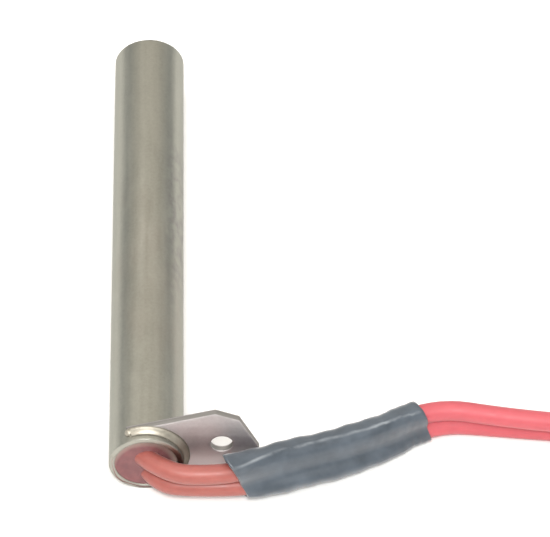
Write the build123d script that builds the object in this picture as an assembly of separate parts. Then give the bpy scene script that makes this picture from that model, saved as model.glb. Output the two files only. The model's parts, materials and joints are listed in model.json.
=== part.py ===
"""Flame sensor probe: a closed steel sheath with a brazed screw tab, a sensing element in
ceramic inside it, two silicone leads, two splices under a black sleeve, and a twin flex.

+Z is up, and the probe lies on a surface. The origin is on the sheath's axis, in the plane
of the screw tab's seating face. +Y runs from that face to the closed tip, and +X is the
side that the tab and the leads go to.
"""

import math
import os

from build123d import *

# Sheath: 3/8 inch tube
sheath_diameter = 9.525
sheath_wall = 0.711
sheath_length = 74.0
tip_plug_thickness = 1.4
tip_bead_height = 0.3
tip_bead_width = 1.2

# Screw tab: a flat plate across the sheath, turned up from level. Its outline is in
# distances along the tab and across it, from the sheath's axis
tab_thickness = 0.9
tab_setback = 1.45
tab_turn = 15.5
tab_half_width = 4.95
tab_heel = -1.2
tab_lower_heel = 0.8
tab_shoulder = 10.6
tab_lower_shoulder = 11.8
tab_end_top = (13.2, 2.9)
tab_end_low = (14.2, -3.0)
tab_corner_radius = 0.35
screw_hole_diameter = 2.9
screw_hole_place = (9.85, -0.65)

# Braze between the sheath and the tab's front face, in turns about the axis from level
braze_leg = 0.85
braze_throat = 0.33
braze_from = -62.0
braze_to = 112.0
braze_blob_radius = 0.55
braze_blob_turn = 116.0

# Inside the sheath, from the mouth to the tip
pole_offset = 1.4
potting_front = -1.6
potting_back = 9.0
lead_start = 14.0
joint_gap = 0.15
ferrule_length = 6.4
ferrule_diameter = 2.1
lead_grip = 2.8
fibre_sleeve_diameter = 2.7
fibre_sleeve_length = 7.6
insulator_start = 23.0
insulator_end = 58.5
insulator_diameter = 7.5
insulator_bore = 0.8
element_wire_diameter = 0.6
element_wire_start = 18.0
element_start = 60.5
element_length = 6.0
element_diameter = 4.4
element_edge = 0.6
wire_in_element = 1.0

# Leads, splices and the sleeve over them
lead_diameter = 2.6
strands_diameter = 1.3
pair_spacing = 2.7
pair_lean = 25.0
splice_length = 5.4
splice_crimp_diameter = 2.0
splice_cover_diameter = 2.56
flex_gap = 0.1
sleeve_wall = 0.45
sleeve_lead_in = (-0.6, -4.35, -1.0125)
sleeve_start = (10.9, -4.3)
sleeve_end = (35.6, 6.2)
sleeve_cut_turn = 28.0

# Coil of the flex's spare length, its ties, and the terminals
coil_centre = (94.3, 33.0)
coil_turns = 3
coil_mean_radius = 31.0
coil_pitch = 2.75
coil_edge = 1.2
coil_slack = 0.05
tie_thickness = 0.5
tie_width = 3.0
tie_turns = (35.0, 215.0)
terminal_width = 7.4
terminal_height = 2.6
terminal_sheet = 0.4
terminal_opening = 3.2
receptacle_length = 7.6
barrel_length = 5.0
barrel_diameter = 3.2
barrel_grip = 2.4
neck_length = 2.4

# Worked out from the sizes above
sheath_radius = sheath_diameter / 2
bore_radius = sheath_radius - sheath_wall
floor = -sheath_radius
mouth = -tab_thickness - tab_setback
tip = mouth + sheath_length
tube_end = tip - tip_bead_height
lead_radius = lead_diameter / 2
strands_radius = strands_diameter / 2
sleeve_width = lead_diameter + 2 * sleeve_wall
coil_bottom = floor + tie_thickness
coil_height = pair_spacing + lead_diameter
coil_band = coil_turns * coil_pitch / 2 + lead_radius + coil_slack
coil_inner = coil_mean_radius - coil_band
coil_outer = coil_mean_radius + coil_band

# A route's arcs take this share of the shorter run beside them
bend_share = 0.45

# Each lead in the sheath, from its ferrule, and at its corner before the mouth
lead_straight_end = 9.7
lead_stops = {
    1: [
        (0.0, lead_start, pole_offset),
        (0.0, lead_straight_end, pole_offset),
        (-0.3, 4.4, 0.80),
        (0.3, -4.5, 0.40),
    ],
    -1: [
        (0.0, lead_start, -pole_offset),
        (0.0, lead_straight_end, -pole_offset),
        (-0.3, 4.4, -1.90),
        (0.6, -4.2, -2.33),
    ],
}

# The pair of leads after that: x, y, height of the pair's middle above the surface, and how
# far its upper wire leans to the left
lead_elbow = (11.8, -4.45, 3.70, pair_lean)
lead_end = (17.8, -2.30, 3.45, pair_lean)

# The twin flex: x, y, and height of its middle above the surface
flex_stops = [
    (28.2, 1.38, 2.95),
    (36.9, 7.25, 2.80),
    (46.6, 5.75, 2.60),
    (57.6, 4.40, 2.60),
    (69.5, 1.60, 2.70),
    (81.5, -1.20, 3.00),
    (93.0, -2.05, 3.15),
]
tail_stops = [
    (88.7, 6.10, 3.15),
    (99.9, 6.10, 3.15),
    (108.6, 13.40, 3.00),
    (110.6, 24.50, 2.80),
    (104.6, 34.00, 2.65),
    (99.45, 36.20, 2.65),
]

# The flex's two wires from where it splits to their terminals
terminal_wire_stops = {
    "a": [(99.20, 35.68, 3.85), (96.30, 36.50, 3.50), (93.20, 33.60, 2.10), (90.20, 32.30, 1.60)],
    "b": [(99.60, 36.80, 1.45), (96.90, 38.20, 1.50), (94.20, 40.00, 1.60), (91.00, 40.60, 1.60)],
}


def along_y(radius, start, end, z=0.0):
    """A round bar along +Y."""
    bar = Cylinder(radius, end - start, align=(Align.CENTER, Align.CENTER, Align.MIN))
    return Pos(0, start, z) * Rot(-90, 0, 0) * bar


def bar_on(plane, radius, start, end):
    """A round bar along a plane's z axis."""
    bar = Cylinder(radius, end - start, align=(Align.CENTER, Align.CENTER, Align.MIN))
    return plane * Pos(0, 0, start) * bar


def corner_radii(points):
    """The radius of the arc at each corner of a route, as large as its runs allow."""
    radii = []
    for before, here, after in zip(points, points[1:], points[2:]):
        arrive = Vector(*here) - Vector(*before)
        leave = Vector(*after) - Vector(*here)
        half_turn = math.radians(arrive.get_angle(leave)) / 2
        radii.append(bend_share * min(arrive.length, leave.length) / math.tan(half_turn))
    return radii


def on_surface(stops):
    """Stops whose height is above the surface, in the part's frame."""
    return [(x, y, floor + height) for x, y, height in stops]


def start_plane(path, lean=0.0):
    """The plane across a path's start, with its x axis up and leaning to the left."""
    ahead = path % 0
    left = Vector(0, 0, 1).cross(ahead).normalized()
    turn = math.radians(lean)
    up = ahead.cross(left)
    return Plane(path @ 0, x_dir=up * math.cos(turn) + left * math.sin(turn), z_dir=ahead)


def swept_wire(points, radii, outer, inner=0.0):
    """A round wire, or a tube of insulation, along straight runs joined by arcs."""
    path = FilletPolyline(*points, radius=radii)
    section = Circle(outer)
    if inner:
        section -= Circle(inner)
    return sweep(start_plane(path) * section, path=path)


def swept_pair(points, radii, width):
    """Two wires one over the other, in one outline as wide as a wire or a sleeve."""
    path = FilletPolyline(*points, radius=radii)
    return sweep(start_plane(path, pair_lean) * SlotCenterToCenter(pair_spacing, width), path=path)


def on_wire(stop, side):
    """A stop of the pair's middle, moved to its upper (1) or lower (-1) wire."""
    x, y, height, lean = stop
    heading = math.atan2(lead_end[1] - lead_elbow[1], lead_end[0] - lead_elbow[0])
    turn = math.radians(lean)
    reach = side * pair_spacing / 2
    return (
        x - reach * math.sin(turn) * math.sin(heading),
        y + reach * math.sin(turn) * math.cos(heading),
        floor + height + reach * math.cos(turn),
    )


def lead_route(side):
    """From the ferrule in the sheath, out of the mouth and round to the splice."""
    return lead_stops[side] + [on_wire(lead_elbow, side), on_wire(lead_end, side)]


def longer(points, at_start, at_end):
    """A route whose first and last runs go further the same way."""
    first = (Vector(*points[0]) - Vector(*points[1])).normalized()
    last = (Vector(*points[-1]) - Vector(*points[-2])).normalized()
    start = Vector(*points[0]) + first * at_start
    end = Vector(*points[-1]) + last * at_end
    return [tuple(start), *points[1:-1], tuple(end)]


def splice_plane(side):
    """The plane across a splice's start, or the pair's (0), with its z axis along the splice."""
    end = Vector(*on_wire(lead_end, side))
    return Plane(end, z_dir=end - Vector(*on_wire(lead_elbow, side)))


def flex_route():
    plane = splice_plane(0)
    start = plane.origin + plane.z_dir * (splice_length + flex_gap)
    return [tuple(start), *on_surface(flex_stops)]


def sheath_tube():
    return along_y(sheath_radius, mouth, tube_end) - along_y(bore_radius, mouth, tube_end)


def tip_plug():
    return along_y(bore_radius, tube_end - tip_plug_thickness, tube_end)


def tip_weld():
    """A low ring of weld over the joint of tube and plug."""
    outline = Pos(bore_radius, tube_end) * Ellipse(tip_bead_width / 2, tip_bead_height)
    outline -= Pos(bore_radius, tube_end - tip_bead_height) * Rectangle(
        2 * tip_bead_width, 2 * tip_bead_height
    )
    return revolve(outline, Axis.Y)


def tab_plane():
    """The seating face's plane, with x along the tab and z towards the mouth."""
    turn = math.radians(tab_turn)
    return Plane((0, 0, 0), x_dir=(math.cos(turn), 0, math.sin(turn)), z_dir=(0, -1, 0))


def mounting_tab():
    """A plate with cut corners, a screw hole, and a half-round notch that hugs the sheath."""
    outline = Polygon(
        (tab_heel, tab_half_width),
        (tab_shoulder, tab_half_width),
        tab_end_top,
        tab_end_low,
        (tab_lower_shoulder, -tab_half_width),
        (tab_lower_heel, -tab_half_width),
        align=None,
    )
    outer_corners = outline.vertices().sort_by(Axis.X)[-4:]
    outline = fillet(outer_corners, tab_corner_radius)
    outline -= Circle(sheath_radius)
    outline -= Pos(*screw_hole_place) * Circle(screw_hole_diameter / 2)
    plate = extrude(tab_plane() * outline, amount=tab_thickness, dir=tab_plane().z_dir)
    return plate.solids().sort_by(SortBy.VOLUME)[-1]


def tab_braze():
    """A hollow fillet of braze round the sheath before the tab, with a blob at its upper end."""
    face = -tab_thickness
    on_sheath = (sheath_radius, face - braze_leg)
    on_tab = (sheath_radius + braze_leg, face)
    hollow = (sheath_radius + braze_throat, face - braze_throat)
    corner = Polyline(on_sheath, (sheath_radius, face), on_tab)
    outline = make_face([corner, ThreePointArc(on_tab, hollow, on_sheath)])
    ring = revolve(outline, Axis.Y, revolution_arc=braze_to - braze_from)
    ring = Rot(0, -braze_to, 0) * ring
    turn = math.radians(braze_blob_turn)
    blob = Pos(
        sheath_radius * math.cos(turn), face, sheath_radius * math.sin(turn)
    ) * Sphere(braze_blob_radius)
    blob -= along_y(sheath_radius, face - braze_blob_radius, face + braze_blob_radius)
    return (ring + blob) - mounting_tab()


def lead_bar(side):
    """The space that a lead takes, with its strands."""
    return swept_wire(lead_route(side), corner_radii(lead_route(side)), lead_radius)


def lead_insulation(side):
    route = lead_route(side)
    return swept_wire(route, corner_radii(route), lead_radius, strands_radius)


def lead_strands(side):
    """A lead's copper strands, from inside its ferrule to inside its splice."""
    route = lead_route(side)
    grips = longer(route, lead_grip, splice_length / 2 - flex_gap)
    return swept_wire(grips, corner_radii(route), strands_radius)


def potting_plug():
    """Silicone that seals the mouth round the two leads."""
    plug = along_y(bore_radius, potting_front, potting_back)
    return plug - lead_bar(1) - lead_bar(-1)


def element_wire(side):
    end = element_start + wire_in_element
    return along_y(element_wire_diameter / 2, element_wire_start, end, side * pole_offset)


def ferrule(side):
    """A crimp that joins a lead's strands to an element wire."""
    start = lead_start + joint_gap
    body = along_y(ferrule_diameter / 2, start, start + ferrule_length, side * pole_offset)
    return body - lead_strands(side) - element_wire(side)


def fibre_sleeve(side):
    start = lead_start + joint_gap
    end = start + fibre_sleeve_length
    sleeve = along_y(fibre_sleeve_diameter / 2, start, end, side * pole_offset)
    return sleeve - along_y(ferrule_diameter / 2, start, end, side * pole_offset)


def insulator_rod():
    """Twin-bore ceramic that keeps the element's wires apart."""
    rod = along_y(insulator_diameter / 2, insulator_start, insulator_end)
    for side in (1, -1):
        rod -= along_y(insulator_bore / 2, insulator_start, insulator_end, side * pole_offset)
    return rod


def sensing_element():
    body = along_y(element_diameter / 2, element_start, element_start + element_length)
    body = chamfer(body.edges().filter_by(GeomType.CIRCLE), element_edge)
    return body - element_wire(1) - element_wire(-1)


def tip_cement():
    """Cement that carries heat from the sheath's tip to the element."""
    fill = along_y(bore_radius, insulator_end, tube_end - tip_plug_thickness)
    return fill - sensing_element() - element_wire(1) - element_wire(-1)


def splice_crimp(side):
    """A butt crimp with one wire's strands in each end."""
    tube = bar_on(splice_plane(side), splice_crimp_diameter / 2, 0, splice_length)
    return tube - bar_on(splice_plane(side), strands_radius, 0, splice_length)


def splice_cover(side):
    tube = bar_on(splice_plane(side), splice_cover_diameter / 2, 0, splice_length)
    return tube - bar_on(splice_plane(side), splice_crimp_diameter / 2, 0, splice_length)


def flex_strands(side):
    """The stripped end of one of the flex's wires, in its splice."""
    middle = splice_length / 2
    return bar_on(splice_plane(side), strands_radius, middle, splice_length)


def flex_bar():
    """The flex from the splices until it is in the coil."""
    return swept_pair(flex_route(), corner_radii(flex_route()), lead_diameter)


def flex_run():
    return flex_bar() - flex_coil() - coil_ties()


def splice_sleeve():
    """Black sleeve shrunk over both splices, with a slanting cut at each end."""
    flex = flex_route()
    points = [sleeve_lead_in, on_wire(lead_elbow, 0), *flex[1:4]]
    radii = [corner_radii([*points[:2], flex[0]])[0], *corner_radii(flex)[:2]]
    sleeve = swept_pair(points, radii, sleeve_width)
    block = 2 * (sleeve_end[0] - sleeve_start[0])
    before = Box(block, block, block, align=(Align.MAX, Align.CENTER, Align.CENTER))
    after = Box(block, block, block, align=(Align.MIN, Align.CENTER, Align.CENTER))
    sleeve -= Pos(*sleeve_start) * Rot(0, 0, sleeve_cut_turn) * before
    sleeve -= Pos(*sleeve_end) * Rot(0, 0, sleeve_cut_turn) * after
    for side in (1, -1):
        sleeve -= lead_bar(side)
        sleeve -= bar_on(splice_plane(side), splice_cover_diameter / 2, 0, splice_length)
    return sleeve - flex_bar()


def flex_coil():
    """The outer shape of the coiled turns."""
    middle = (coil_inner + coil_outer) / 2
    outline = Pos(middle, coil_bottom + coil_height / 2) * RectangleRounded(
        coil_outer - coil_inner, coil_height, coil_edge
    )
    ring = revolve(Plane.XZ * outline, Axis.Z)
    return Pos(*coil_centre) * ring


def coil_ties():
    """Two soft ties round the turns, on which the coil stands."""
    width = coil_outer - coil_inner
    band = Box(
        width + 2 * tie_thickness,
        tie_width,
        coil_height + 2 * tie_thickness,
        align=(Align.CENTER, Align.CENTER, Align.MIN),
    )
    edges = band.edges().filter_by(Axis.Y)
    band = fillet(edges, coil_edge + tie_thickness)
    ties = []
    for turn in tie_turns:
        ties.append(
            Pos(*coil_centre, floor) * Rot(0, 0, turn) * Pos(coil_mean_radius, 0, 0) * band
            - flex_coil()
        )
    return Compound(children=[solid for tie in ties for solid in tie.solids()])


def tail_bar():
    points = on_surface(tail_stops)
    return swept_pair(points, corner_radii(points), lead_diameter)


def flex_tail():
    """The flex's free end, from the coil's inner turn to where its wires part."""
    return tail_bar() - flex_coil()


def terminal_wire(name):
    points = longer(on_surface(terminal_wire_stops[name]), 0, barrel_grip)
    radii = corner_radii(on_surface(terminal_wire_stops[name]))
    return swept_wire(points, radii, lead_radius) - tail_bar()


def terminal(name):
    """A push-on receptacle for a 6.3 mm blade, crimped on its wire."""
    before, end = on_surface(terminal_wire_stops[name])[-2:]
    ahead = Vector(end[0] - before[0], end[1] - before[1], 0)
    place = Plane((end[0], end[1], floor), x_dir=ahead, z_dir=(0, 0, 1))
    across = Plane.YZ
    barrel = extrude(
        across * Pos(0, barrel_diameter / 2) * Circle(barrel_diameter / 2), amount=barrel_length
    )
    barrel -= extrude(
        across * Pos(0, barrel_diameter / 2) * Circle(barrel_diameter / 2 - terminal_sheet),
        amount=barrel_length,
    )
    rear = barrel_length + neck_length
    neck_start = barrel_length - neck_length / 2
    neck = Pos(neck_start, 0, 0) * Box(
        rear - neck_start,
        terminal_opening,
        terminal_sheet,
        align=(Align.MIN, Align.CENTER, Align.MIN),
    )
    curl = SlotOverall(terminal_width, terminal_height)
    curl -= SlotOverall(terminal_width - 2 * terminal_sheet, terminal_height - 2 * terminal_sheet)
    curl -= Pos(0, terminal_height / 2) * Rectangle(terminal_opening, terminal_height)
    body = extrude(
        Plane.YZ.offset(rear) * Pos(0, terminal_height / 2) * curl, amount=receptacle_length
    )
    return place * (barrel + neck + body)


def terminal_sunk(name):
    """The terminal without the space that its wire takes."""
    return terminal(name) - terminal_wire(name)


def all_parts():
    parts = {
        "sheath_tube": sheath_tube(),
        "tip_plug": tip_plug(),
        "tip_weld": tip_weld(),
        "mounting_tab": mounting_tab(),
        "tab_braze": tab_braze(),
        "potting_plug": potting_plug(),
        "insulator_rod": insulator_rod(),
        "sensing_element": sensing_element(),
        "tip_cement": tip_cement(),
        "splice_sleeve": splice_sleeve(),
        "flex_run": flex_run(),
        "flex_coil": flex_coil(),
        "coil_ties": coil_ties(),
        "flex_tail": flex_tail(),
    }
    for place, side in (("upper", 1), ("lower", -1)):
        parts["element_wire_" + place] = element_wire(side)
        parts["ferrule_" + place] = ferrule(side)
        parts["fibre_sleeve_" + place] = fibre_sleeve(side)
        parts["lead_" + place] = lead_insulation(side)
        parts["lead_strands_" + place] = lead_strands(side)
        parts["splice_crimp_" + place] = splice_crimp(side)
        parts["splice_cover_" + place] = splice_cover(side)
        parts["flex_strands_" + place] = flex_strands(side)
    for name in terminal_wire_stops:
        parts["terminal_wire_" + name] = terminal_wire(name)
        parts["terminal_" + name] = terminal_sunk(name)
    return parts


def print_cord(name, points, radii, section, bar):
    """A cord's arcs and its length, and how its volume compares with its section's."""
    length = FilletPolyline(*points, radius=radii).length
    share = bar.volume / (section * length)
    print(name, "radii", [round(radius, 1) for radius in radii], end=" ")
    print("length", round(length, 1), "volume share", round(share, 4))


def print_cords():
    round_section = math.pi * lead_radius**2
    pair_section = round_section + pair_spacing * lead_diameter
    for side in (1, -1):
        route = lead_route(side)
        print_cord("lead", route, corner_radii(route), round_section, lead_bar(side))
    for name, points, bar in (
        ("flex", flex_route(), flex_bar()),
        ("tail", on_surface(tail_stops), tail_bar()),
    ):
        print_cord(name, points, corner_radii(points), pair_section, bar)
    print("coil length", round(2 * math.pi * coil_mean_radius * coil_turns, 1))


if __name__ == "__main__":
    os.makedirs("parts", exist_ok=True)
    for node, shape in all_parts().items():
        export_step(shape, os.path.join("parts", node + ".step"))
    print_cords()
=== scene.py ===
"""A flame sensor probe's looks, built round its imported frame. Metres, +Z up.

+Y runs along the sheath to its closed tip, and +X is the side of the tab and the leads.
"""

import bisect
import json
import math

import bmesh
import bpy
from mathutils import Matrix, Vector


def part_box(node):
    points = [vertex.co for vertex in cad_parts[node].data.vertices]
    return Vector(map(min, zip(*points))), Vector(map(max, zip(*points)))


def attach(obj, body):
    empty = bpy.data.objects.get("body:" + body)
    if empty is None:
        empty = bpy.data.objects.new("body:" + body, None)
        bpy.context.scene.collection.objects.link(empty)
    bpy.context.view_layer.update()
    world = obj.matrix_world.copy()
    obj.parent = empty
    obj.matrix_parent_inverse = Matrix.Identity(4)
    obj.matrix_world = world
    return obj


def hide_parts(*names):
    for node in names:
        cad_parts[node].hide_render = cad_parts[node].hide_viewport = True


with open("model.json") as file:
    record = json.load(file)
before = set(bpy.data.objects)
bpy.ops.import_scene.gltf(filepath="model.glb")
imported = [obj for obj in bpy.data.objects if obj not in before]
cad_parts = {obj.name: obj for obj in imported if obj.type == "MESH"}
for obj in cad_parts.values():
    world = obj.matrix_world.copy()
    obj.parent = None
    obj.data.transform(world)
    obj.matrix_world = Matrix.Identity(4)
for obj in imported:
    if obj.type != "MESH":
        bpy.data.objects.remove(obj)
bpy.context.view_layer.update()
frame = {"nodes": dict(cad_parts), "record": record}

# Sizes that the frame gives
sheath_low, sheath_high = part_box("sheath_tube")
plug_low, plug_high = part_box("potting_plug")
coil_low, coil_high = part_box("flex_coil")
coil_centre = (coil_low + coil_high) / 2
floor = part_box("coil_ties")[0].z
tab_low, tab_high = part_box("mounting_tab")
weld_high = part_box("tip_weld")[1]
bore_radius = plug_high.x
weld_half_width = weld_high.x - bore_radius
weld_height = weld_high.y - sheath_high.y

# Wires, in pairs with one over the other. The bond between the two wires of the flex covers
# the web's half angle, in degrees, on each side of where they face each other.
wire_radius = 0.0013
pair_spacing = 0.0027
web_half_angle = 20.0
strands_radius = 0.00065
strand_count = 7
strand_groove = 0.06
strand_lay = 0.35
splice_length = 0.0054
flex_gap = 0.0001

# The weld's bead: points along and round it, and the sizes of its ripples and lumps
bead_steps = 90
bead_sides = 16
bead_ripple = 0.16
bead_lump = 0.14

# Each lead's route from its ferrule and round its bend before the mouth, 1 being the upper
# lead and -1 the lower one
lead_stops = {
    1: [
        (0.0, 0.014, 0.0014),
        (0.0, 0.0097, 0.0014),
        (-0.0006, 0.0044, 0.0008),
        (-0.0013, 0.0007, 0.0005),
        (-0.0006, -0.0014, 0.00045),
        (0.0022, -0.0036, 0.00045),
        (0.0044, -0.0046, 0.0004),
    ],
    -1: [
        (0.0, 0.014, -0.0014),
        (0.0, 0.0097, -0.0014),
        (-0.0004, 0.0044, -0.0019),
        (-0.0006, 0.0003, -0.0022),
        (0.0008, -0.0024, -0.0023),
        (0.0028, -0.0039, -0.00232),
        (0.0048, -0.0042, -0.0023),
    ],
}

# The pair of leads after that: x, y, height of the pair's middle above the surface, and how
# far the upper wire leans to the left
lead_pair_stops = [
    (0.0072, -0.0045, 0.00378, -8.0),
    (0.0105, -0.0044, 0.00375, -4.0),
    (0.0138, -0.0036, 0.0036, 14.0),
    (0.0178, -0.0023, 0.00345, 25.0),
]
splice_heading = (0.006, 0.00215, -0.00025)

# The potting: how much further out it is on one side of the mouth than at its middle, how
# high and how far from the tube and the leads it climbs, how rough it is, how far behind its
# face its side turns into its edge, and its points round and across it
potting_tilt = 0.0004
rim_climb, rim_reach = 0.0003, 0.0004
lead_climb, lead_reach = 0.0004, 0.0005
potting_ripple = 0.00001
potting_depth = 0.002
potting_sides = 96
potting_rings = 40

# Where it runs over the tube's end: how far at most, in which direction in degrees, how
# thick it is there, and the least reach that counts
smear_reach_most = 0.0005
smear_direction = 235
smear_thickness = 0.00003
smear_least = 0.0001

# Elsewhere: how far its edge goes into the tube's wall, and how far its face stays inside
# the tube's end
rim_overlap = 0.00004
rim_clearance = 0.00008

# The sleeve over the splices: where it starts and ends, how its ends slant, how far its outer
# and inner skins are from the wires, its rings, and how much more of the wires' line it needs
sleeve_x = (0.0114, 0.0356)
sleeve_slants = (0.35, 0.2)
sleeve_skins = (0.00045, 0.00004)
sleeve_steps = 90
sleeve_sides = 96
sleeve_margin = 0.003

# How slack it is over the upper wire, how much that lessens along it, how much more it is at
# its near end, and how much of it widens the sleeve
slack_usual = 0.0006
slack_taken_up = 0.0004
slack_at_mouth = 0.0006
slack_sideways = 0.3

# How deep it is drawn in between the wires, at what height and over what height, and over
# what height it passes from one wire to the other, all as shares of its reach from a wire
waist_depth = 0.30
waist_middle, waist_width = -0.02, 0.16
waist_rise = 0.3

# Its crease and its furrow: their places in radians round it, their widths and their sizes
# as shares of its radius, and the sizes of its dents
crease_turn, crease_width, crease_size = 1.2, 0.14, 0.07
furrow_turn, furrow_width, furrow_size = -0.5, 0.12, 0.05
fine_dents, broad_dents = 0.014, 0.018

# The twin flex's route after the splices, in the same terms as the pair of leads
flex_stops = [
    (0.0282, 0.00138, 0.00295, 25.0),
    (0.0369, 0.00725, 0.0028, 4.0),
    (0.0466, 0.00575, 0.0026, -14.0),
    (0.0576, 0.0044, 0.0026, -18.0),
    (0.0695, 0.0016, 0.0027, -14.0),
    (0.0815, -0.0012, 0.003, -6.0),
    (0.093, -0.00205, 0.00315, 0.0),
]

# The coil that it goes on into, from its outer turn to its inner one. It starts this part of
# a turn from +X.
coil_start = -0.25
coil_turns = 3
coil_pitch = 0.00275
coil_mean_radius = 0.031
stops_per_turn = 24

# The flex's tail, inside its coil
tail_stops = [
    (0.0999, 0.0061, 0.00315, 0.0),
    (0.1086, 0.0134, 0.003, 8.0),
    (0.1106, 0.0245, 0.0028, 18.0),
    (0.1046, 0.034, 0.00265, 25.0),
    (0.09945, 0.0362, 0.00265, 25.0),
]

# The straps round the coil: where they are in degrees, their section, how far their ends lap,
# and from where on the way round each is lifted over its start
strap_turns = {"coil_strap_a": 35.0, "coil_strap_b": 215.0}
strap_width = 0.003
strap_thickness = 0.00045
strap_corner = 0.0014
strap_steps = 120
strap_lap = 0.16
strap_lift_start = 0.94

# Each wire of the flex from where it splits to its terminal: x, y, height of its middle
terminal_wire_stops = {
    "a": [
        (0.0992, 0.03568, 0.00385),
        (0.0963, 0.0365, 0.0035),
        (0.0932, 0.0336, 0.0021),
        (0.0902, 0.0323, 0.0016),
    ],
    "b": [
        (0.0996, 0.0368, 0.00145),
        (0.0969, 0.0382, 0.0015),
        (0.0942, 0.04, 0.0016),
        (0.091, 0.0406, 0.0016),
    ],
}

# The radius that steel edges look rounded to
steel_edge_radius = 0.0003

# Where the looks change. Each pair is where a change starts and where it is complete: in
# metres on the sheath and the tab, in shares of the bore's radius on the potting, out from
# its shifted middle, and in turns round the sleeve.
smudges_from_left = (0.0020, 0.0034)
smudges_from_mouth = (0.018, 0.032)
smudges_from_tip = (0.058, 0.046)
# The tab's painted reflection: paler from the first height down to the second
tab_reflection_below = (0.0016, -0.0006)
tab_edge_inset = (0.00006, 0.00016)
potting_shift = (0.1, 0.0, 0.3)
potting_pales = (0.85, 1.05)
# The sleeve's painted highlight lies between these turns round it
highlight_from_below = (0.345, 0.364)
highlight_from_above = (0.387, 0.368)

# The camera, with its angles in degrees, its lens in millimetres and the rest in metres
camera_azimuth = 0.88
camera_elevation = 46.4
camera_distance = 0.5327
camera_target = (0.01685, 0.02565, 0.00638)
camera_lens = 266.0

# The room's light, what the lamps face, and the sheet that everything stands on
room_strength = 1.4
lamp_target = (0.03, 0.03, 0.0)
sheet_size = 1.5


# ---------------------------------------------------------------- lines and tubes


def spline_points(stops, resolution):
    """The points of one smooth line that has these stops as its control points."""
    curve = bpy.data.curves.new("line", "CURVE")
    curve.dimensions = "3D"
    curve.resolution_u = resolution
    spline = curve.splines.new("NURBS")
    spline.points.add(len(stops) - 1)
    for point, stop in zip(spline.points, stops):
        point.co = (*stop, 1.0)
    spline.order_u = 3
    spline.use_endpoint_u = True
    holder = bpy.data.objects.new("line", curve)
    line = bpy.data.meshes.new_from_object(holder)
    points = [vertex.co.copy() for vertex in line.vertices]
    bpy.data.objects.remove(holder)
    bpy.data.curves.remove(curve)
    bpy.data.meshes.remove(line)
    return points


def pair_stops(stops):
    """The stops of the upper and the lower wire, from those of the pair's middle."""
    upper, lower = [], []
    last = len(stops) - 1
    for index, (x, y, height, lean) in enumerate(stops):
        before = stops[max(index - 1, 0)]
        after = stops[min(index + 1, last)]
        heading = math.atan2(after[1] - before[1], after[0] - before[0])
        turn = math.radians(lean)
        reach = Vector((
            -math.sin(heading) * math.sin(turn),
            math.cos(heading) * math.sin(turn),
            math.cos(turn),
        ))
        middle = Vector((x, y, floor + height))
        upper.append(middle + reach * pair_spacing / 2)
        lower.append(middle - reach * pair_spacing / 2)
    return upper, lower


def tangents(points):
    """The direction of a line at each of its points."""
    found = []
    last = len(points) - 1
    for index in range(len(points)):
        found.append((points[min(index + 1, last)] - points[max(index - 1, 0)]).normalized())
    return found


def run_lengths(points):
    """How far along a line each of its points is."""
    lengths = [0.0]
    for before, here in zip(points, points[1:]):
        lengths.append(lengths[-1] + (here - before).length)
    return lengths


def hump(value, middle, width):
    """1 at the middle, falling smoothly to 0 on both sides."""
    return math.exp(-(((value - middle) / width) ** 2))


def ring_mesh(name, rings, closed_along):
    """A tube through rings of points, with its UV in metres along it and turns round it.

    It is closed along itself into a loop, or else has a cap at each end.
    """
    shape = bmesh.new()
    uv_layer = shape.loops.layers.uv.new("along")
    rows = [[shape.verts.new(point) for point in ring] for ring in rings]
    centres = [sum(ring, Vector()) / len(ring) for ring in rings]
    lengths = run_lengths(centres)
    around = len(rings[0])
    pairs = list(zip(rows, rows[1:], lengths, lengths[1:]))
    if closed_along:
        step = (centres[0] - centres[-1]).length
        pairs.append((rows[-1], rows[0], lengths[-1], lengths[-1] + step))
    for here, after, start, end in pairs:
        for index in range(around):
            other = (index + 1) % around
            face = shape.faces.new((here[index], here[other], after[other], after[index]))
            turns = (index / around, (index + 1) / around)
            corners = ((start, turns[0]), (start, turns[1]), (end, turns[1]), (end, turns[0]))
            for loop, corner in zip(face.loops, corners):
                loop[uv_layer].uv = corner
    if not closed_along:
        shape.faces.new(reversed(rows[0]))
        shape.faces.new(rows[-1])
    for face in shape.faces:
        face.smooth = True
    bmesh.ops.recalc_face_normals(shape, faces=shape.faces)
    mesh = bpy.data.meshes.new(name)
    shape.to_mesh(mesh)
    shape.free()
    return mesh


def tube_piece(name, rings, slot, closed_along=False):
    """A piece with its slot's material, which rides on the part's only body."""
    mesh = ring_mesh(name, rings, closed_along)
    mesh.materials.append(materials[slot])
    piece = bpy.data.objects.new(name, mesh)
    bpy.context.scene.collection.objects.link(piece)
    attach(piece, "root")
    return piece


def swept_rings(points, ups, section):
    """A section's rings along a line. section(index) gives (left, up) pairs there."""
    rings = []
    for index, (point, up, ahead) in enumerate(zip(points, ups, tangents(points))):
        left = up.cross(ahead).normalized()
        top = ahead.cross(left)
        rings.append([point + left * a + top * b for a, b in section(index)])
    return rings


def circle_section(radius, count=20):
    """A circle's points, from its right side and upwards."""
    turns = [2 * math.pi * index / count for index in range(count)]
    return [(radius * math.cos(turn), radius * math.sin(turn)) for turn in turns]


def twin_section(count=13):
    """Two bonded round wires, one over the other, with a narrow waist between them."""
    start = -90 + web_half_angle
    sweep = 360 - 2 * web_half_angle
    half = pair_spacing / 2
    lobe = []
    for index in range(count):
        turn = math.radians(start + sweep * index / (count - 1))
        lobe.append((wire_radius * math.cos(turn), half + wire_radius * math.sin(turn)))
    return lobe + [(-a, -b) for a, b in lobe]


def strand_section(index, count=42):
    """The lobed outline of twisted strands, which turns from one ring to the next."""
    outline = []
    for step in range(count):
        turn = 2 * math.pi * step / count
        lobe = math.cos(strand_count * turn + strand_lay * index)
        reach = strands_radius * (1 - strand_groove + strand_groove * lobe)
        outline.append((reach * math.cos(turn), reach * math.sin(turn)))
    return outline


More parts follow.
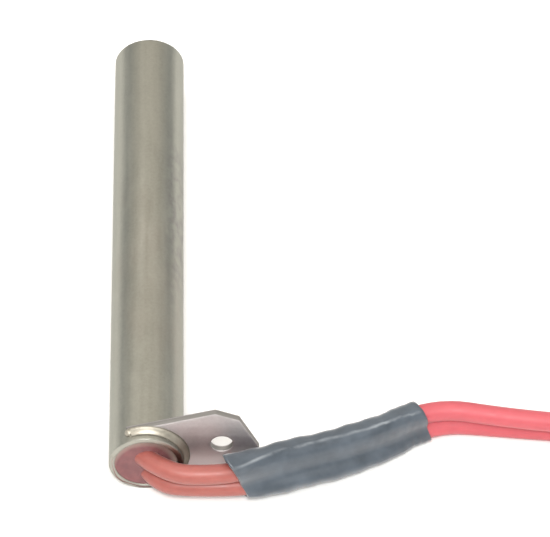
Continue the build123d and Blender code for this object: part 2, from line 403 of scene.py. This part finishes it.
def level_ups(points):
    """Straight up, for each point of a line."""
    return [Vector((0, 0, 1))] * len(points)


# ---------------------------------------------------------------- materials


def new_material(name, **settings):
    """A material with plain values on its shader's own sockets."""
    made = bpy.data.materials.new(name)
    made.use_nodes = True
    shader = made.node_tree.nodes["Principled BSDF"]
    for socket, value in settings.items():
        shader.inputs[socket.replace("_", " ")].default_value = value
    return made


def node(tree, kind, **values):
    """A node with its properties and inputs set."""
    made = tree.nodes.new(kind)
    for key, value in values.items():
        if key in made.inputs:
            made.inputs[key].default_value = value
        else:
            setattr(made, key.lower(), value)
    return made


def coordinates(tree, stretch=(1, 1, 1), source="Object", shift=(0, 0, 0)):
    place = tree.nodes.new("ShaderNodeTexCoord")
    mapping = node(tree, "ShaderNodeMapping", Scale=stretch, Location=shift)
    tree.links.new(place.outputs[source], mapping.inputs["Vector"])
    return mapping.outputs["Vector"]


def noise(tree, where, scale, detail=4.0, roughness=0.55):
    made = node(tree, "ShaderNodeTexNoise", Scale=scale, Detail=detail, Roughness=roughness)
    tree.links.new(where, made.inputs["Vector"])
    return made.outputs["Fac"]


def ramp(tree, factor, stops):
    """Colours or greys at places from 0 to 1."""
    made = tree.nodes.new("ShaderNodeValToRGB")
    tree.links.new(factor, made.inputs["Fac"])
    elements = made.color_ramp.elements
    while len(elements) < len(stops):
        elements.new(0.5)
    for element, (place, colour) in zip(elements, stops):
        element.position = place
        if isinstance(colour, float):
            colour = (colour, colour, colour)
        element.color = (*colour, 1.0)
    return made.outputs["Color"]


def mixed(tree, factor, first, second):
    made = tree.nodes.new("ShaderNodeMixRGB")
    for socket, value in (("Fac", factor), ("Color1", first), ("Color2", second)):
        if isinstance(value, float):
            made.inputs[socket].default_value = value
        elif isinstance(value, tuple):
            made.inputs[socket].default_value = (*value, 1.0)
        else:
            tree.links.new(value, made.inputs[socket])
    return made.outputs["Color"]


def to_shader(made, socket, output):
    shader = made.node_tree.nodes["Principled BSDF"]
    made.node_tree.links.new(output, shader.inputs[socket])


def bump(made, heights, strength, distance, edge_radius=0.0):
    """Relief from heights, over edges that catch the light as if they were rounded."""
    tree = made.node_tree
    lifted = node(tree, "ShaderNodeBump", Strength=strength, Distance=distance)
    if edge_radius:
        rounded = node(tree, "ShaderNodeBevel", Radius=edge_radius)
        tree.links.new(rounded.outputs["Normal"], lifted.inputs["Normal"])
    tree.links.new(heights, lifted.inputs["Height"])
    to_shader(made, "Normal", lifted.outputs["Normal"])


def steel(name, dark, light, streak=(900.0, 30.0, 900.0), rough=(0.30, 0.46), tint=None,
          metallic=1.0):
    """Mill-finish steel: streaks along the drawing direction, mottling and a fine grain."""
    made = new_material(
        name, Metallic=metallic, Anisotropic=0.35, Specular_Tint=(0.62, 0.63, 0.62, 1.0)
    )
    tree = made.node_tree
    streaks = noise(tree, coordinates(tree, streak), 1.0, detail=5.0)
    clouds = noise(tree, coordinates(tree, (1, 0.4, 1)), 420.0, detail=6.0, roughness=0.7)
    grain = noise(tree, coordinates(tree), 2600.0, detail=3.0, roughness=0.6)
    tone = mixed(tree, 0.3, mixed(tree, 0.5, streaks, clouds), grain)
    colour = ramp(tree, tone, [(0.34, dark), (0.66, light)])
    # Patches of the tint: stains on the sheath, while the tab's mauve patches are a painted
    # reflection of the red leads and the dark sleeve
    if tint:
        stains_and_reflection = noise(tree, coordinates(tree, (1, 0.35, 1)), 130.0, detail=5.0, roughness=0.6)
        amount = ramp(tree, stains_and_reflection, [(0.52, 0.0), (0.75, 0.35)])
        colour = mixed(tree, amount, colour, tint)
    to_shader(made, "Base Color", colour)
    to_shader(made, "Roughness", ramp(tree, tone, [(0.3, rough[0]), (0.7, rough[1])]))
    bump(made, tone, 0.35, 0.00005, steel_edge_radius)
    return made


def base_colour(made):
    """The colour that a material has so far."""
    return made.node_tree.nodes["Principled BSDF"].inputs["Base Color"].links[0].from_socket


def along_axis(tree, axis, start, end):
    """0 before a place on one of the object's axes and 1 after another."""
    split = tree.nodes.new("ShaderNodeSeparateXYZ")
    tree.links.new(coordinates(tree), split.inputs["Vector"])
    return ranged(tree, split.outputs[axis], start, end)


def ranged(tree, value, start, end):
    """0 before one value and 1 after another."""
    made = node(tree, "ShaderNodeMapRange")
    made.inputs["From Min"].default_value = start
    made.inputs["From Max"].default_value = end
    tree.links.new(value, made.inputs["Value"])
    return made.outputs["Result"]


def both(tree, first, second):
    """1 where two masks are both 1."""
    made = node(tree, "ShaderNodeMath", operation="MULTIPLY")
    tree.links.new(first, made.inputs[0])
    tree.links.new(second, made.inputs[1])
    return made.outputs["Value"]


def handled_steel(name, dark, light, tint, smudge):
    """The sheath's steel, with a row of soft smudges along its right side."""
    made = steel(name, dark, light, tint=tint)
    tree = made.node_tree
    spots = ranged(tree, noise(tree, coordinates(tree, (1, 0.6, 1)), 900.0), 0.40, 0.72)
    beside = along_axis(tree, "X", *smudges_from_left)
    middle = both(
        tree, along_axis(tree, "Y", *smudges_from_mouth), along_axis(tree, "Y", *smudges_from_tip)
    )
    amount = both(tree, both(tree, spots, beside), middle)
    to_shader(made, "Base Color", mixed(tree, amount, base_colour(made), smudge))
    return made


def sheared_steel(name, dark, light, tint, edge, pale):
    """Sheet steel with duller cut edges, and a painted reflection of the lit leads: paler and
    pinkish towards its lower side.
    """
    made = steel(
        name, dark, light, streak=(60.0, 900.0, 900.0), rough=(0.42, 0.6), tint=tint,
        metallic=0.75,
    )
    tree = made.node_tree
    # Painted reflection: paler and pinkish towards the lower side
    faces = mixed(tree, along_axis(tree, "Z", *tab_reflection_below), base_colour(made), pale)
    start, end = tab_edge_inset
    behind_front = along_axis(tree, "Y", tab_low.y + start, tab_low.y + end)
    before_back = along_axis(tree, "Y", tab_high.y - start, tab_high.y - end)
    between = both(tree, behind_front, before_back)
    to_shader(made, "Base Color", mixed(tree, between, faces, edge))
    return made


def silicone(name, dark, light, rough=0.46, gloss=0.05):
    """Extruded silicone: faint lengthwise streaks, a dusty bloom and a soft gloss."""
    made = new_material(
        name, Subsurface_Weight=0.12, Subsurface_Scale=0.0008, Sheen_Weight=0.1,
        Coat_Weight=gloss, Coat_Roughness=0.25,
    )
    tree = made.node_tree
    streaks = noise(tree, coordinates(tree, (60.0, 9.0, 1.0), "UV"), 1.0, detail=4.0)
    dust = noise(tree, coordinates(tree), 900.0, detail=3.0)
    tone = mixed(tree, 0.4, streaks, dust)
    to_shader(made, "Base Color", ramp(tree, tone, [(0.3, dark), (0.7, light)]))
    to_shader(made, "Roughness", ramp(tree, dust, [(0.3, rough - 0.08), (0.7, rough + 0.1)]))
    bump(made, tone, 0.25, 0.00004)
    return made


def poured(name, dark, light, edge):
    """Cast silicone that turns paler and beige towards the tube, most of all at its upper right.

    How far out a place is counts from a little below and left of the mouth's middle.
    """
    made = new_material(name, Subsurface_Weight=0.1, Subsurface_Scale=0.0008)
    tree = made.node_tree
    swirls = noise(tree, coordinates(tree), 650.0, detail=4.0)
    across = coordinates(tree, (1 / bore_radius, 0.0, 1 / bore_radius), shift=potting_shift)
    out = node(tree, "ShaderNodeVectorMath", operation="LENGTH")
    tree.links.new(across, out.inputs[0])
    amount = ranged(tree, out.outputs["Value"], *potting_pales)
    colour = ramp(tree, swirls, [(0.3, dark), (0.7, light)])
    to_shader(made, "Base Color", mixed(tree, amount, colour, edge))
    to_shader(made, "Roughness", ramp(tree, swirls, [(0.3, 0.42), (0.7, 0.58)]))
    bump(made, swirls, 0.3, 0.00006)
    return made


def mineral(name, dark, light, rough=0.75):
    """Fired or cemented material with a fine grain."""
    made = new_material(name)
    tree = made.node_tree
    grains = noise(tree, coordinates(tree), 1500.0, detail=6.0, roughness=0.7)
    to_shader(made, "Base Color", ramp(tree, grains, [(0.35, dark), (0.65, light)]))
    to_shader(made, "Roughness", ramp(tree, grains, [(0.3, rough - 0.15), (0.7, rough)]))
    bump(made, grains, 0.4, 0.00005)
    return made


def woven(name, dark, light):
    """A close weave, from two crossed sets of ribs."""
    made = new_material(name, Sheen_Weight=0.3)
    tree = made.node_tree
    where = coordinates(tree, source="UV")
    ribs = node(tree, "ShaderNodeTexWave", Scale=260.0, Distortion=0.6)
    tree.links.new(where, ribs.inputs["Vector"])
    cross = node(tree, "ShaderNodeTexWave", Scale=14.0, Distortion=0.4, bands_direction="Y")
    tree.links.new(where, cross.inputs["Vector"])
    heights = mixed(tree, 0.5, ribs.outputs["Fac"], cross.outputs["Fac"])
    to_shader(made, "Base Color", ramp(tree, heights, [(0.2, dark), (0.8, light)]))
    to_shader(made, "Roughness", ramp(tree, heights, [(0.2, 0.95), (0.8, 0.75)]))
    bump(made, heights, 0.6, 0.00012)
    return made


def shrunk_plastic(name, dark, light, painted_highlight):
    """Heat-shrunk tubing: matt, with soft dimples, dusty patches and a painted highlight along
    its crease.
    """
    made = new_material(name, Sheen_Weight=0.25, Coat_Weight=0.15, Coat_Roughness=0.3)
    tree = made.node_tree
    patches = noise(tree, coordinates(tree), 330.0, detail=5.0, roughness=0.6)
    dimples = noise(tree, coordinates(tree, (260.0, 7.0, 1.0), "UV"), 1.0, detail=3.0)
    tone = mixed(tree, 0.45, patches, dimples)
    split = tree.nodes.new("ShaderNodeSeparateXYZ")
    tree.links.new(coordinates(tree, source="UV"), split.inputs["Vector"])
    turns = split.outputs["Y"]
    # Painted highlight: a paler colour along the crease, broken into dashes by noise
    on_crease = both(
        tree, ranged(tree, turns, *highlight_from_below), ranged(tree, turns, *highlight_from_above)
    )
    highlight_dashes = ranged(tree, noise(tree, coordinates(tree, (170.0, 3.0, 1.0), "UV"), 1.0), 0.42, 0.6)
    colour = ramp(tree, tone, [(0.32, dark), (0.68, light)])
    to_shader(made, "Base Color", mixed(tree, both(tree, on_crease, highlight_dashes), colour, painted_highlight))
    to_shader(made, "Roughness", ramp(tree, tone, [(0.3, 0.28), (0.7, 0.46)]))
    bump(made, tone, 0.45, 0.0001)
    return made


materials = {
    "sheath_steel": handled_steel(
        "sheath_steel", (0.31, 0.31, 0.275), (0.42, 0.415, 0.37), (0.32, 0.28, 0.24),
        (0.265, 0.25, 0.24),
    ),
    "weld_steel": steel(
        "weld_steel", (0.26, 0.245, 0.215), (0.40, 0.38, 0.34), streak=(500.0, 500.0, 500.0)
    ),
    # The tab's pinkish tone and its mauve patches are a painted reflection of the red leads and
    # the dark sleeve
    "tab_steel": sheared_steel(
        "tab_steel", (0.42, 0.395, 0.40), (0.56, 0.53, 0.535), (0.32, 0.25, 0.30),
        (0.27, 0.26, 0.25), (0.80, 0.76, 0.76),
    ),
    "braze": steel(
        "braze", (0.32, 0.295, 0.25), (0.50, 0.47, 0.40), streak=(400.0, 400.0, 400.0),
        rough=(0.36, 0.55), metallic=0.85,
    ),
    "wire_steel": steel("wire_steel", (0.40, 0.39, 0.38), (0.55, 0.54, 0.52)),
    "crimp": steel("crimp", (0.45, 0.45, 0.45), (0.6, 0.6, 0.6)),
    "terminal": steel(
        "terminal", (0.30, 0.29, 0.26), (0.43, 0.415, 0.38), streak=(300.0, 300.0, 300.0)
    ),
    "strands": steel("strands", (0.44, 0.21, 0.12), (0.64, 0.36, 0.24)),
    "potting": poured(
        "potting", (0.155, 0.058, 0.062), (0.225, 0.088, 0.09), (0.36, 0.27, 0.235)
    ),
    "lead": silicone("lead", (0.28, 0.074, 0.06), (0.385, 0.112, 0.093)),
    "flex": silicone("flex", (0.46, 0.07, 0.088), (0.55, 0.105, 0.125), rough=0.55, gloss=0.0),
    "insulator": mineral("insulator", (0.60, 0.58, 0.53), (0.70, 0.68, 0.65)),
    "element": mineral("element", (0.12, 0.19, 0.16), (0.19, 0.28, 0.24), rough=0.35),
    "cement": mineral("cement", (0.46, 0.43, 0.38), (0.62, 0.59, 0.54), rough=0.95),
    "fibre": woven("fibre", (0.5, 0.47, 0.4), (0.7, 0.67, 0.6)),
    "tie": woven("tie", (0.015, 0.015, 0.018), (0.05, 0.05, 0.06)),
    # The last colour of each is a painted highlight along the crease
    "splice_cover": shrunk_plastic(
        "splice_cover", (0.03, 0.03, 0.04), (0.07, 0.07, 0.08), (0.1, 0.1, 0.11)
    ),
    "sleeve": shrunk_plastic(
        "sleeve", (0.034, 0.045, 0.059), (0.077, 0.098, 0.124), (0.22, 0.245, 0.27)
    ),
}


def dress_cad_nodes():
    """Each CAD node takes its slot's material."""
    slots = {part["node"]: part["material_slot"] for part in frame["record"]["subparts"]}
    for name, obj in frame["nodes"].items():
        obj.data.materials.clear()
        obj.data.materials.append(materials[slots[name]])


# ---------------------------------------------------------------- camera, light, surface


def add_camera():
    """A long lens above and square to the sheath."""
    azimuth, elevation = math.radians(camera_azimuth), math.radians(camera_elevation)
    ahead = Vector((
        math.sin(azimuth) * math.cos(elevation),
        math.cos(azimuth) * math.cos(elevation),
        -math.sin(elevation),
    ))
    camera = bpy.data.objects.new("camera", bpy.data.cameras.new("camera"))
    bpy.context.scene.collection.objects.link(camera)
    camera.data.sensor_width = 36.0
    camera.data.lens = camera_lens
    camera.data.clip_start = 0.01
    camera.location = Vector(camera_target) - ahead * camera_distance
    camera.rotation_euler = ahead.to_track_quat("-Z", "Y").to_euler()
    bpy.context.scene.camera = camera


def add_area(name, location, size, power, colour=(1.0, 1.0, 1.0)):
    """A square soft box that faces the probe."""
    light = bpy.data.lights.new(name, "AREA")
    light.size = size
    light.energy = power
    light.color = colour
    box = bpy.data.objects.new(name, light)
    bpy.context.scene.collection.objects.link(box)
    box.location = location
    aim = Vector(lamp_target) - Vector(location)
    box.rotation_euler = aim.to_track_quat("-Z", "Y").to_euler()


def add_light():
    """A white room, darker towards its horizon, and two soft boxes."""
    world = bpy.data.worlds.new("room")
    world.use_nodes = True
    tree = world.node_tree
    place = tree.nodes.new("ShaderNodeTexCoord")
    split = tree.nodes.new("ShaderNodeSeparateXYZ")
    tree.links.new(place.outputs["Generated"], split.inputs["Vector"])
    shade = ramp(
        tree, split.outputs["Z"],
        [(0.0, (0.33, 0.34, 0.34)), (0.3, (0.42, 0.43, 0.42)), (0.7, (0.76, 0.70, 0.61)),
         (1.0, (0.87, 0.84, 0.80))],
    )
    background = tree.nodes["Background"]
    tree.links.new(shade, background.inputs["Color"])
    background.inputs["Strength"].default_value = room_strength
    bpy.context.scene.world = world
    add_area("front_box", location=(0.02, -0.55, 0.78), size=0.3, power=7.6)
    add_area(
        "top_box", location=(-0.2, 0.15, 0.9), size=0.8, power=1.4, colour=(1.0, 0.99, 0.96)
    )


def add_surface():
    """A wide pale sheet under the probe."""
    shape = bmesh.new()
    bmesh.ops.create_grid(shape, x_segments=8, y_segments=8, size=sheet_size)
    mesh = bpy.data.meshes.new("surface")
    shape.to_mesh(mesh)
    shape.free()
    sheet = bpy.data.objects.new("surface", mesh)
    bpy.context.scene.collection.objects.link(sheet)
    sheet.location = (0.0, 0.0, floor)
    made = new_material("surface", Roughness=0.9, Specular_IOR_Level=0.1)
    tree = made.node_tree
    grain = noise(tree, coordinates(tree), 400.0, detail=3.0)
    to_shader(made, "Base Color", ramp(tree, grain, [(0.3, 0.93), (0.7, 0.95)]))
    mesh.materials.append(made)


# ---------------------------------------------------------------- tip weld


def bead_swell(turn):
    """The bead's size as a share of its usual one: ripples, and lumps that come and go."""
    ripple = math.sin(9 * turn + 1)
    lump = math.sin(4 * turn) * math.sin(23 * turn)
    return 1 + bead_ripple * ripple + bead_lump * lump


def add_tip_bead():
    """An uneven bead of weld over the joint of tube and plug."""
    rings = []
    for index in range(bead_steps):
        turn = 2 * math.pi * index / bead_steps
        outwards = Vector((math.cos(turn), 0, math.sin(turn)))
        centre = outwards * bore_radius + Vector((0, sheath_high.y, 0))
        swell = bead_swell(turn)
        ring = []
        for across, along in circle_section(swell, bead_sides):
            ring.append(centre + outwards * weld_half_width * across
                        + Vector((0, weld_height * along, 0)))
        rings.append(ring)
    piece = tube_piece("tip_bead", rings, "weld_steel", closed_along=True)
    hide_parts("tip_weld")


# ---------------------------------------------------------------- leads


def lead_line(side):
    """One lead's line, from inside the sheath to its splice. The side is 1 up, -1 down."""
    upper, lower = pair_stops(lead_pair_stops)
    return spline_points(lead_stops[side] + (upper if side > 0 else lower), resolution=16)


def at_mouth(line):
    """The point where a lead's line comes out of the potting."""
    return min(line, key=lambda point: abs(point.y - plug_low.y))


def wire_piece(name, line, slot):
    """A round insulated wire along a line."""
    section = circle_section(wire_radius)
    return tube_piece(name, swept_rings(line, level_ups(line), lambda index: section), slot)


def add_lead(place, side):
    """One silicone lead with its strands, from the mouth's potting."""
    line = lead_line(side)
    lead = wire_piece("lead_skin_" + place, line, "lead")
    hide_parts("lead_" + place)
    rings = swept_rings(line, level_ups(line), strand_section)
    strands = tube_piece("lead_core_" + place, rings, "strands")
    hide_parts("lead_strands_" + place)
    return line


def potting_height(x, z, leads):
    """How far the potting stands out of its plane: it climbs the tube and the leads."""
    height = rim_climb * math.exp((math.hypot(x, z) - bore_radius) / rim_reach)
    for lead in leads:
        gap = max(0.0, math.hypot(x - lead.x, z - lead.z) - wire_radius)
        height += lead_climb * math.exp(-gap / lead_reach)
    ripple = math.sin(2600 * x + 1.0) * math.sin(2300 * z) + math.sin(5100 * (x - z))
    return height - potting_tilt * (x + z) / bore_radius + potting_ripple * ripple


def smear_reach(turn):
    """How far the potting runs over the tube's end at a turn about its axis."""
    toward = max(0.0, math.cos(turn - math.radians(smear_direction)))
    return smear_reach_most * toward**0.7 * (1 + 0.25 * math.sin(7 * turn))


def smear_ring():
    """The potting's edge: over the tube's end where it is smeared, and inside elsewhere."""
    ring = []
    for index in range(potting_sides):
        turn = 2 * math.pi * index / potting_sides
        reach = smear_reach(turn)
        out = bore_radius + max(reach, rim_overlap)
        y = sheath_low.y - smear_thickness if reach > smear_least else plug_low.y
        ring.append(Vector((out * math.cos(turn), y, out * math.sin(turn))))
    return ring


def add_potting(lines):
    """Silicone poured round the leads, fuller on the side away from the tab."""
    leads = [at_mouth(line) for line in lines]
    rings = []
    for depth in (plug_high.y, plug_low.y + potting_depth):
        wall = circle_section(bore_radius, potting_sides)
        rings.append([Vector((x, depth, z)) for x, z in wall])
    rings.append(smear_ring())
    for step in range(potting_rings, 0, -1):
        ring = []
        for x, z in circle_section(bore_radius * step / potting_rings, potting_sides):
            y = plug_low.y - potting_height(x, z, leads)
            ring.append(Vector((x, max(y, sheath_low.y + rim_clearance), z)))
        rings.append(ring)
    piece = tube_piece("mouth_seal", rings, "potting")
    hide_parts("potting_plug")


# ---------------------------------------------------------------- twin flex


def flex_start():
    """Where the flex leaves the splices."""
    *end, lean = lead_pair_stops[-1]
    start = Vector(end) + Vector(splice_heading).normalized() * (splice_length + flex_gap)
    return (*start, lean)


def turn_radius(turns):
    """The coil's radius after some turns."""
    return coil_mean_radius + (coil_turns / 2 - turns) * coil_pitch


def coil_stops():
    """The stops of the coil's turns, from the outer turn to the inner one."""
    height = coil_centre.z - floor
    stops = []
    for step in range(1, coil_turns * stops_per_turn):
        turns = step / stops_per_turn
        angle = 2 * math.pi * (turns + coil_start)
        radius = turn_radius(turns)
        x = coil_centre.x + radius * math.cos(angle)
        y = coil_centre.y + radius * math.sin(angle)
        stops.append((x, y, height, 0.0))
    return stops


def flex_line():
    """The line of the flex's middle, and the direction to its upper wire at each point."""
    upper, lower = pair_stops([flex_start(), *flex_stops, *coil_stops(), *tail_stops])
    upper_line = spline_points(upper, resolution=8)
    lower_line = spline_points(lower, resolution=8)
    middle = [(high + low) / 2 for high, low in zip(upper_line, lower_line)]
    ups = [(high - low).normalized() for high, low in zip(upper_line, lower_line)]
    return middle, ups


def add_terminal_wire(name):
    """One wire of the flex after it splits."""
    stops = [(x, y, floor + height) for x, y, height in terminal_wire_stops[name]]
    piece = wire_piece("split_wire_" + name, spline_points(stops, resolution=12), "flex")
    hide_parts("terminal_wire_" + name)
    return piece


def add_flex(middle, ups):
    """The twin flex, from the splices to its terminals."""
    section = twin_section()
    flex = tube_piece("twin_flex", swept_rings(middle, ups, lambda index: section), "flex")
    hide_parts("flex_run", "flex_coil", "flex_tail")


# ---------------------------------------------------------------- coil straps


def round_box(distance, wide, high, corner):
    """The point and the outward direction at a distance round a round-cornered box.

    It goes up the first side, round the corner at its end, and so on.
    """
    a, b = wide - corner, high - corner
    centres = [(a, b), (-a, b), (-a, -b), (a, -b)]
    straights = [2 * b, 2 * a] * 2
    bend = math.pi / 2 * corner
    distance %= sum(straights) + 4 * bend
    for side, straight in enumerate(straights):
        if distance <= straight + bend:
            break
        distance -= straight + bend
    before = max(0.0, straight - distance)
    turn = side * math.pi / 2 + max(0.0, distance - straight) / corner
    out = (math.cos(turn), math.sin(turn))
    a, b = centres[side]
    return (a + corner * out[0] + before * out[1], b + corner * out[1] - before * out[0]), out


def strap_section(wide, thick, corner_steps=4):
    """A flat strap's section with round edges, as (across, out) pairs."""
    outline = []
    for side in (1, -1):
        for step in range(corner_steps + 1):
            turn = math.pi * (step / corner_steps - 0.5)
            a = side * (wide / 2 - thick / 2 + thick / 2 * math.cos(turn))
            outline.append((a, side * thick / 2 * math.sin(turn)))
    return outline


def add_strap(name, turn):
    """A soft strap once round the coil's turns, with its end lapped over its start."""
    wide = (coil_turns - 1) / 2 * coil_pitch + wire_radius + strap_thickness / 2
    high = (coil_high.z - coil_low.z + strap_thickness) / 2
    around = 4 * (wide + high - 2 * strap_corner) + 2 * math.pi * strap_corner
    angle = math.radians(turn)
    outwards = Vector((math.cos(angle), math.sin(angle), 0))
    first_turn = (turn / 360 - coil_start) % 1
    middle_turn = first_turn + (coil_turns - 1) / 2
    centre = coil_centre + outwards * turn_radius(middle_turn)
    points, ups = [], []
    for step in range(strap_steps + 1):
        distance = (1 + strap_lap) * around * step / strap_steps
        lapped = (distance / around - strap_lift_start) / (1 - strap_lift_start)
        lift = min(1.0, max(0.0, lapped)) * strap_thickness
        (a, b), out = round_box(distance, wide, high, strap_corner)
        points.append(centre + outwards * (a + out[0] * lift)
                      + Vector((0, 0, b + out[1] * lift)))
        ups.append(outwards * out[0] + Vector((0, 0, out[1])))
    section = strap_section(strap_width, strap_thickness)
    strap = tube_piece(name, swept_rings(points, ups, lambda index: section), "tie")
    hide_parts("coil_ties")
    return strap


# ---------------------------------------------------------------- sleeve


def at_distance(line, lengths, distance):
    """The point at a distance along a line, and the line's index before it."""
    index = max(1, min(bisect.bisect_left(lengths, distance), len(line) - 1))
    share = (distance - lengths[index - 1]) / (lengths[index] - lengths[index - 1])
    return line[index - 1].lerp(line[index], share), index


def distance_at_x(line, lengths, x):
    """How far along a line it first reaches x."""
    for index in range(1, len(line)):
        if line[index].x >= x:
            share = (x - line[index - 1].x) / (line[index].x - line[index - 1].x)
            return lengths[index - 1] + share * (lengths[index] - lengths[index - 1])
    return lengths[-1]


def sleeve_line(flex_middle, flex_ups):
    """The line and up directions over the leads' ends, the splices and the flex's start."""
    upper, lower = lead_line(1), lead_line(-1)
    frames = [((high + low) / 2, (high - low).normalized()) for high, low in zip(upper, lower)]
    frames = [(point, up) for point, up in frames if point.x > sleeve_x[0] - sleeve_margin]
    for point, up in zip(flex_middle, flex_ups):
        if point.x > sleeve_x[1] + sleeve_margin:
            break
        frames.append((point, up))
    return [point for point, up in frames], [up for point, up in frames]


def sleeve_outline(share, skin):
    """The sleeve's section at a share of its length: snug below, slack over the upper wire."""
    slack = slack_usual - slack_taken_up * share**3 + slack_at_mouth * (1 - share) ** 6
    reach = wire_radius + skin
    outline = []
    for a, b in circle_section(1.0, sleeve_sides):
        pinch = 1 - waist_depth * hump(b, waist_middle, waist_width)
        rise = math.copysign(pair_spacing / 2, b) * min(1.0, abs(b) / waist_rise)
        lift = slack * max(b, 0.0)
        outline.append((a * (reach * pinch + slack_sideways * lift), b * reach + rise + lift))
    return outline


def sleeve_relief(distance, a, b):
    """By what factor the sleeve is further out at a place: a crease, a furrow and dents."""
    turn = math.atan2(b, -a)
    crease = crease_size * hump(turn, crease_turn, crease_width)
    crease *= 0.7 + 0.3 * math.sin(distance * 820 + 0.8) * math.sin(distance * 310)
    furrow = furrow_size * hump(turn, furrow_turn, furrow_width)
    furrow *= 0.6 + 0.4 * math.sin(distance * 540 + 2.0)
    dents = fine_dents * math.sin(distance * 1900 + b * 1100)
    dents += broad_dents * math.sin(distance * 730 - a * 1300 + 1.0)
    return 1 + crease - furrow + dents


def sleeve_rings(line, ups, skin, relief=None):
    """The sleeve's rings. Their points slide along it, to make its slanting ends."""
    lengths = run_lengths(line)
    first = distance_at_x(line, lengths, sleeve_x[0])
    last = distance_at_x(line, lengths, sleeve_x[1])
    rings = []
    for step in range(sleeve_steps + 1):
        share = step / sleeve_steps
        ring = []
        for a, b in sleeve_outline(share, skin):
            start = first - (a + b) * sleeve_slants[0]
            end = last - (a + b) * sleeve_slants[1]
            distance = start + (end - start) * share
            here, index = at_distance(line, lengths, distance)
            ahead = (line[index] - line[index - 1]).normalized()
            left = ups[index].cross(ahead).normalized()
            top = ahead.cross(left)
            reach = relief(distance, a, b) if relief else 1
            ring.append(here + (left * a + top * b) * reach)
        rings.append(ring)
    return rings


def add_sleeve(flex_middle, flex_ups):
    """Shrunk tubing over both splices, open at its slanting ends."""
    line, ups = sleeve_line(flex_middle, flex_ups)
    outer, inner = sleeve_skins
    rings = sleeve_rings(line, ups, outer, sleeve_relief) + sleeve_rings(line, ups, inner)[::-1]
    piece = tube_piece("splice_tubing", rings, "sleeve", closed_along=True)
    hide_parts("splice_sleeve")
    return piece


# ---------------------------------------------------------------- build


add_camera()
add_light()
add_surface()
dress_cad_nodes()
add_tip_bead()
add_potting([add_lead("upper", 1), add_lead("lower", -1)])
wires = [add_terminal_wire(name) for name in terminal_wire_stops]
straps = [add_strap(name, turn) for name, turn in strap_turns.items()]
flex_middle, flex_ups = flex_line()
sleeve = add_sleeve(flex_middle, flex_ups)
add_flex(flex_middle, flex_ups)

bpy.context.scene.view_settings.view_transform = "Standard"
